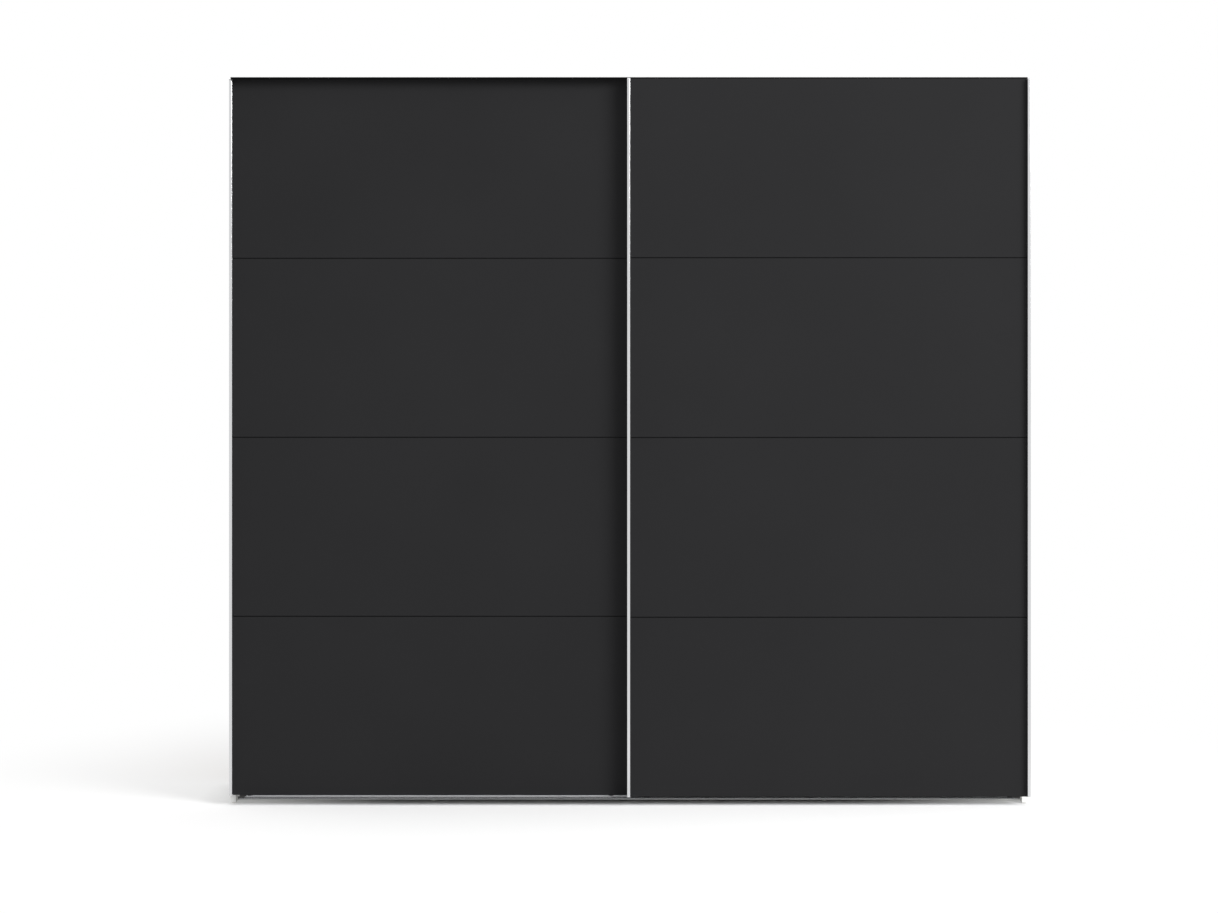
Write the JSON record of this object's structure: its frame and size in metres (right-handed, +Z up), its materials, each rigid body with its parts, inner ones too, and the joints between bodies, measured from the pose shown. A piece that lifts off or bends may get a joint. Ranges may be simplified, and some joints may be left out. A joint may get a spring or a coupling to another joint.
{
  "type": "sliding door wardrobe",
  "caption": "Wide free-standing wardrobe with overlapping black sliding doors, aluminium handle profiles and a white carcass with hat shelves and hanging rails.",
  "frame": {"origin": "centre of the footprint, on the floor", "axes": "+X along the width to the right as seen from the front, -Y out of the front (the doors), +Z up"},
  "size_m": [2.42, 0.64, 2.2],
  "materials": {
    "white_board": "satin white melamine on chipboard",
    "hardboard": "lacquered white inside, bare brown fibreboard outside",
    "black_board": "matt black foil on chipboard",
    "aluminium": "satin anodised",
    "black_track": "black anodised",
    "steel": "zinc plated",
    "chrome": "polished",
    "black_plastic": "matt",
    "grey_plastic": "satin",
    "white_plastic": "natural nylon",
    "beech": "plain turned",
    "rubber": "matt"
  },
  "bodies": {
    "carcass": {"left_side_panel": "white_board", "right_side_panel": "white_board", "centre_partition": "white_board", "top_panel": "white_board", "bottom_panel": "white_board", "front_plinth": "white_board", "rear_plinth": "white_board", "middle_plinth": "white_board", "left_hat_shelf": "white_board", "right_hat_shelf": "white_board", "outer_left_back_panel": "hardboard", "inner_left_back_panel": "hardboard", "inner_right_back_panel": "hardboard", "outer_right_back_panel": "hardboard", "back_joining_strips": "white_plastic", "back_panel_nails": "steel", "left_hanging_rail": "chrome", "right_hanging_rail": "chrome", "rail_end_supports": "chrome", "fitting_screws": "steel", "shelf_pins": "steel", "cam_locks": "steel", "cam_bolts": "steel", "dowels": "beech", "floor_glides": "white_plastic", "wall_brackets": "steel", "top_track": "black_track", "bottom_track": "aluminium", "track_screws": "steel", "track_stops": "rubber"},
    "left_door": {"left_door_bottom_panel": "black_board", "left_door_lower_panel": "black_board", "left_door_upper_panel": "black_board", "left_door_top_panel": "black_board", "left_door_joining_strips": "black_plastic", "left_door_left_handle": "aluminium", "left_door_right_handle": "aluminium", "left_door_end_caps": "grey_plastic", "left_door_guide_channel": "black_plastic", "left_door_guide_shoes": "white_plastic", "left_door_roller_housings": "steel", "left_door_axles": "steel", "left_door_roller_screws": "steel"},
    "right_door": {"right_door_bottom_panel": "black_board", "right_door_lower_panel": "black_board", "right_door_upper_panel": "black_board", "right_door_top_panel": "black_board", "right_door_joining_strips": "black_plastic", "right_door_left_handle": "aluminium", "right_door_right_handle": "aluminium", "right_door_end_caps": "grey_plastic", "right_door_guide_channel": "black_plastic", "right_door_guide_shoes": "white_plastic", "right_door_roller_housings": "steel", "right_door_axles": "steel", "right_door_roller_screws": "steel"},
    "left_door_left_wheel": {"left_door_left_wheel": "black_plastic"},
    "left_door_right_wheel": {"left_door_right_wheel": "black_plastic"},
    "right_door_left_wheel": {"right_door_left_wheel": "black_plastic"},
    "right_door_right_wheel": {"right_door_right_wheel": "black_plastic"}
  },
  "joints": [
    {"name": "left_door_slide", "type": "slide", "parent": "carcass", "child": "left_door", "axis": [1, 0, 0], "range_m": [0, 1.204]},
    {"name": "right_door_slide", "type": "slide", "parent": "carcass", "child": "right_door", "axis": [-1, 0, 0], "range_m": [0, 1.204]},
    {"name": "left_door_left_wheel_spin", "type": "hinge", "parent": "left_door", "child": "left_door_left_wheel", "pos_m": [-1.15, -0.248, 0.043], "axis": [0, 1, 0], "continuous": true},
    {"name": "left_door_right_wheel_spin", "type": "hinge", "parent": "left_door", "child": "left_door_right_wheel", "pos_m": [-0.054, -0.248, 0.043], "axis": [0, 1, 0], "continuous": true},
    {"name": "right_door_left_wheel_spin", "type": "hinge", "parent": "right_door", "child": "right_door_left_wheel", "pos_m": [0.054, -0.292, 0.043], "axis": [0, 1, 0], "continuous": true},
    {"name": "right_door_right_wheel_spin", "type": "hinge", "parent": "right_door", "child": "right_door_right_wheel", "pos_m": [1.15, -0.292, 0.043], "axis": [0, 1, 0], "continuous": true}
  ],
  "couplings": [
    {"joint": "left_door_left_wheel_spin", "follows": "left_door_slide", "rad_per_m": 62.5},
    {"joint": "left_door_right_wheel_spin", "follows": "left_door_slide", "rad_per_m": 62.5},
    {"joint": "right_door_left_wheel_spin", "follows": "right_door_slide", "rad_per_m": -62.5},
    {"joint": "right_door_right_wheel_spin", "follows": "right_door_slide", "rad_per_m": -62.5}
  ]
}
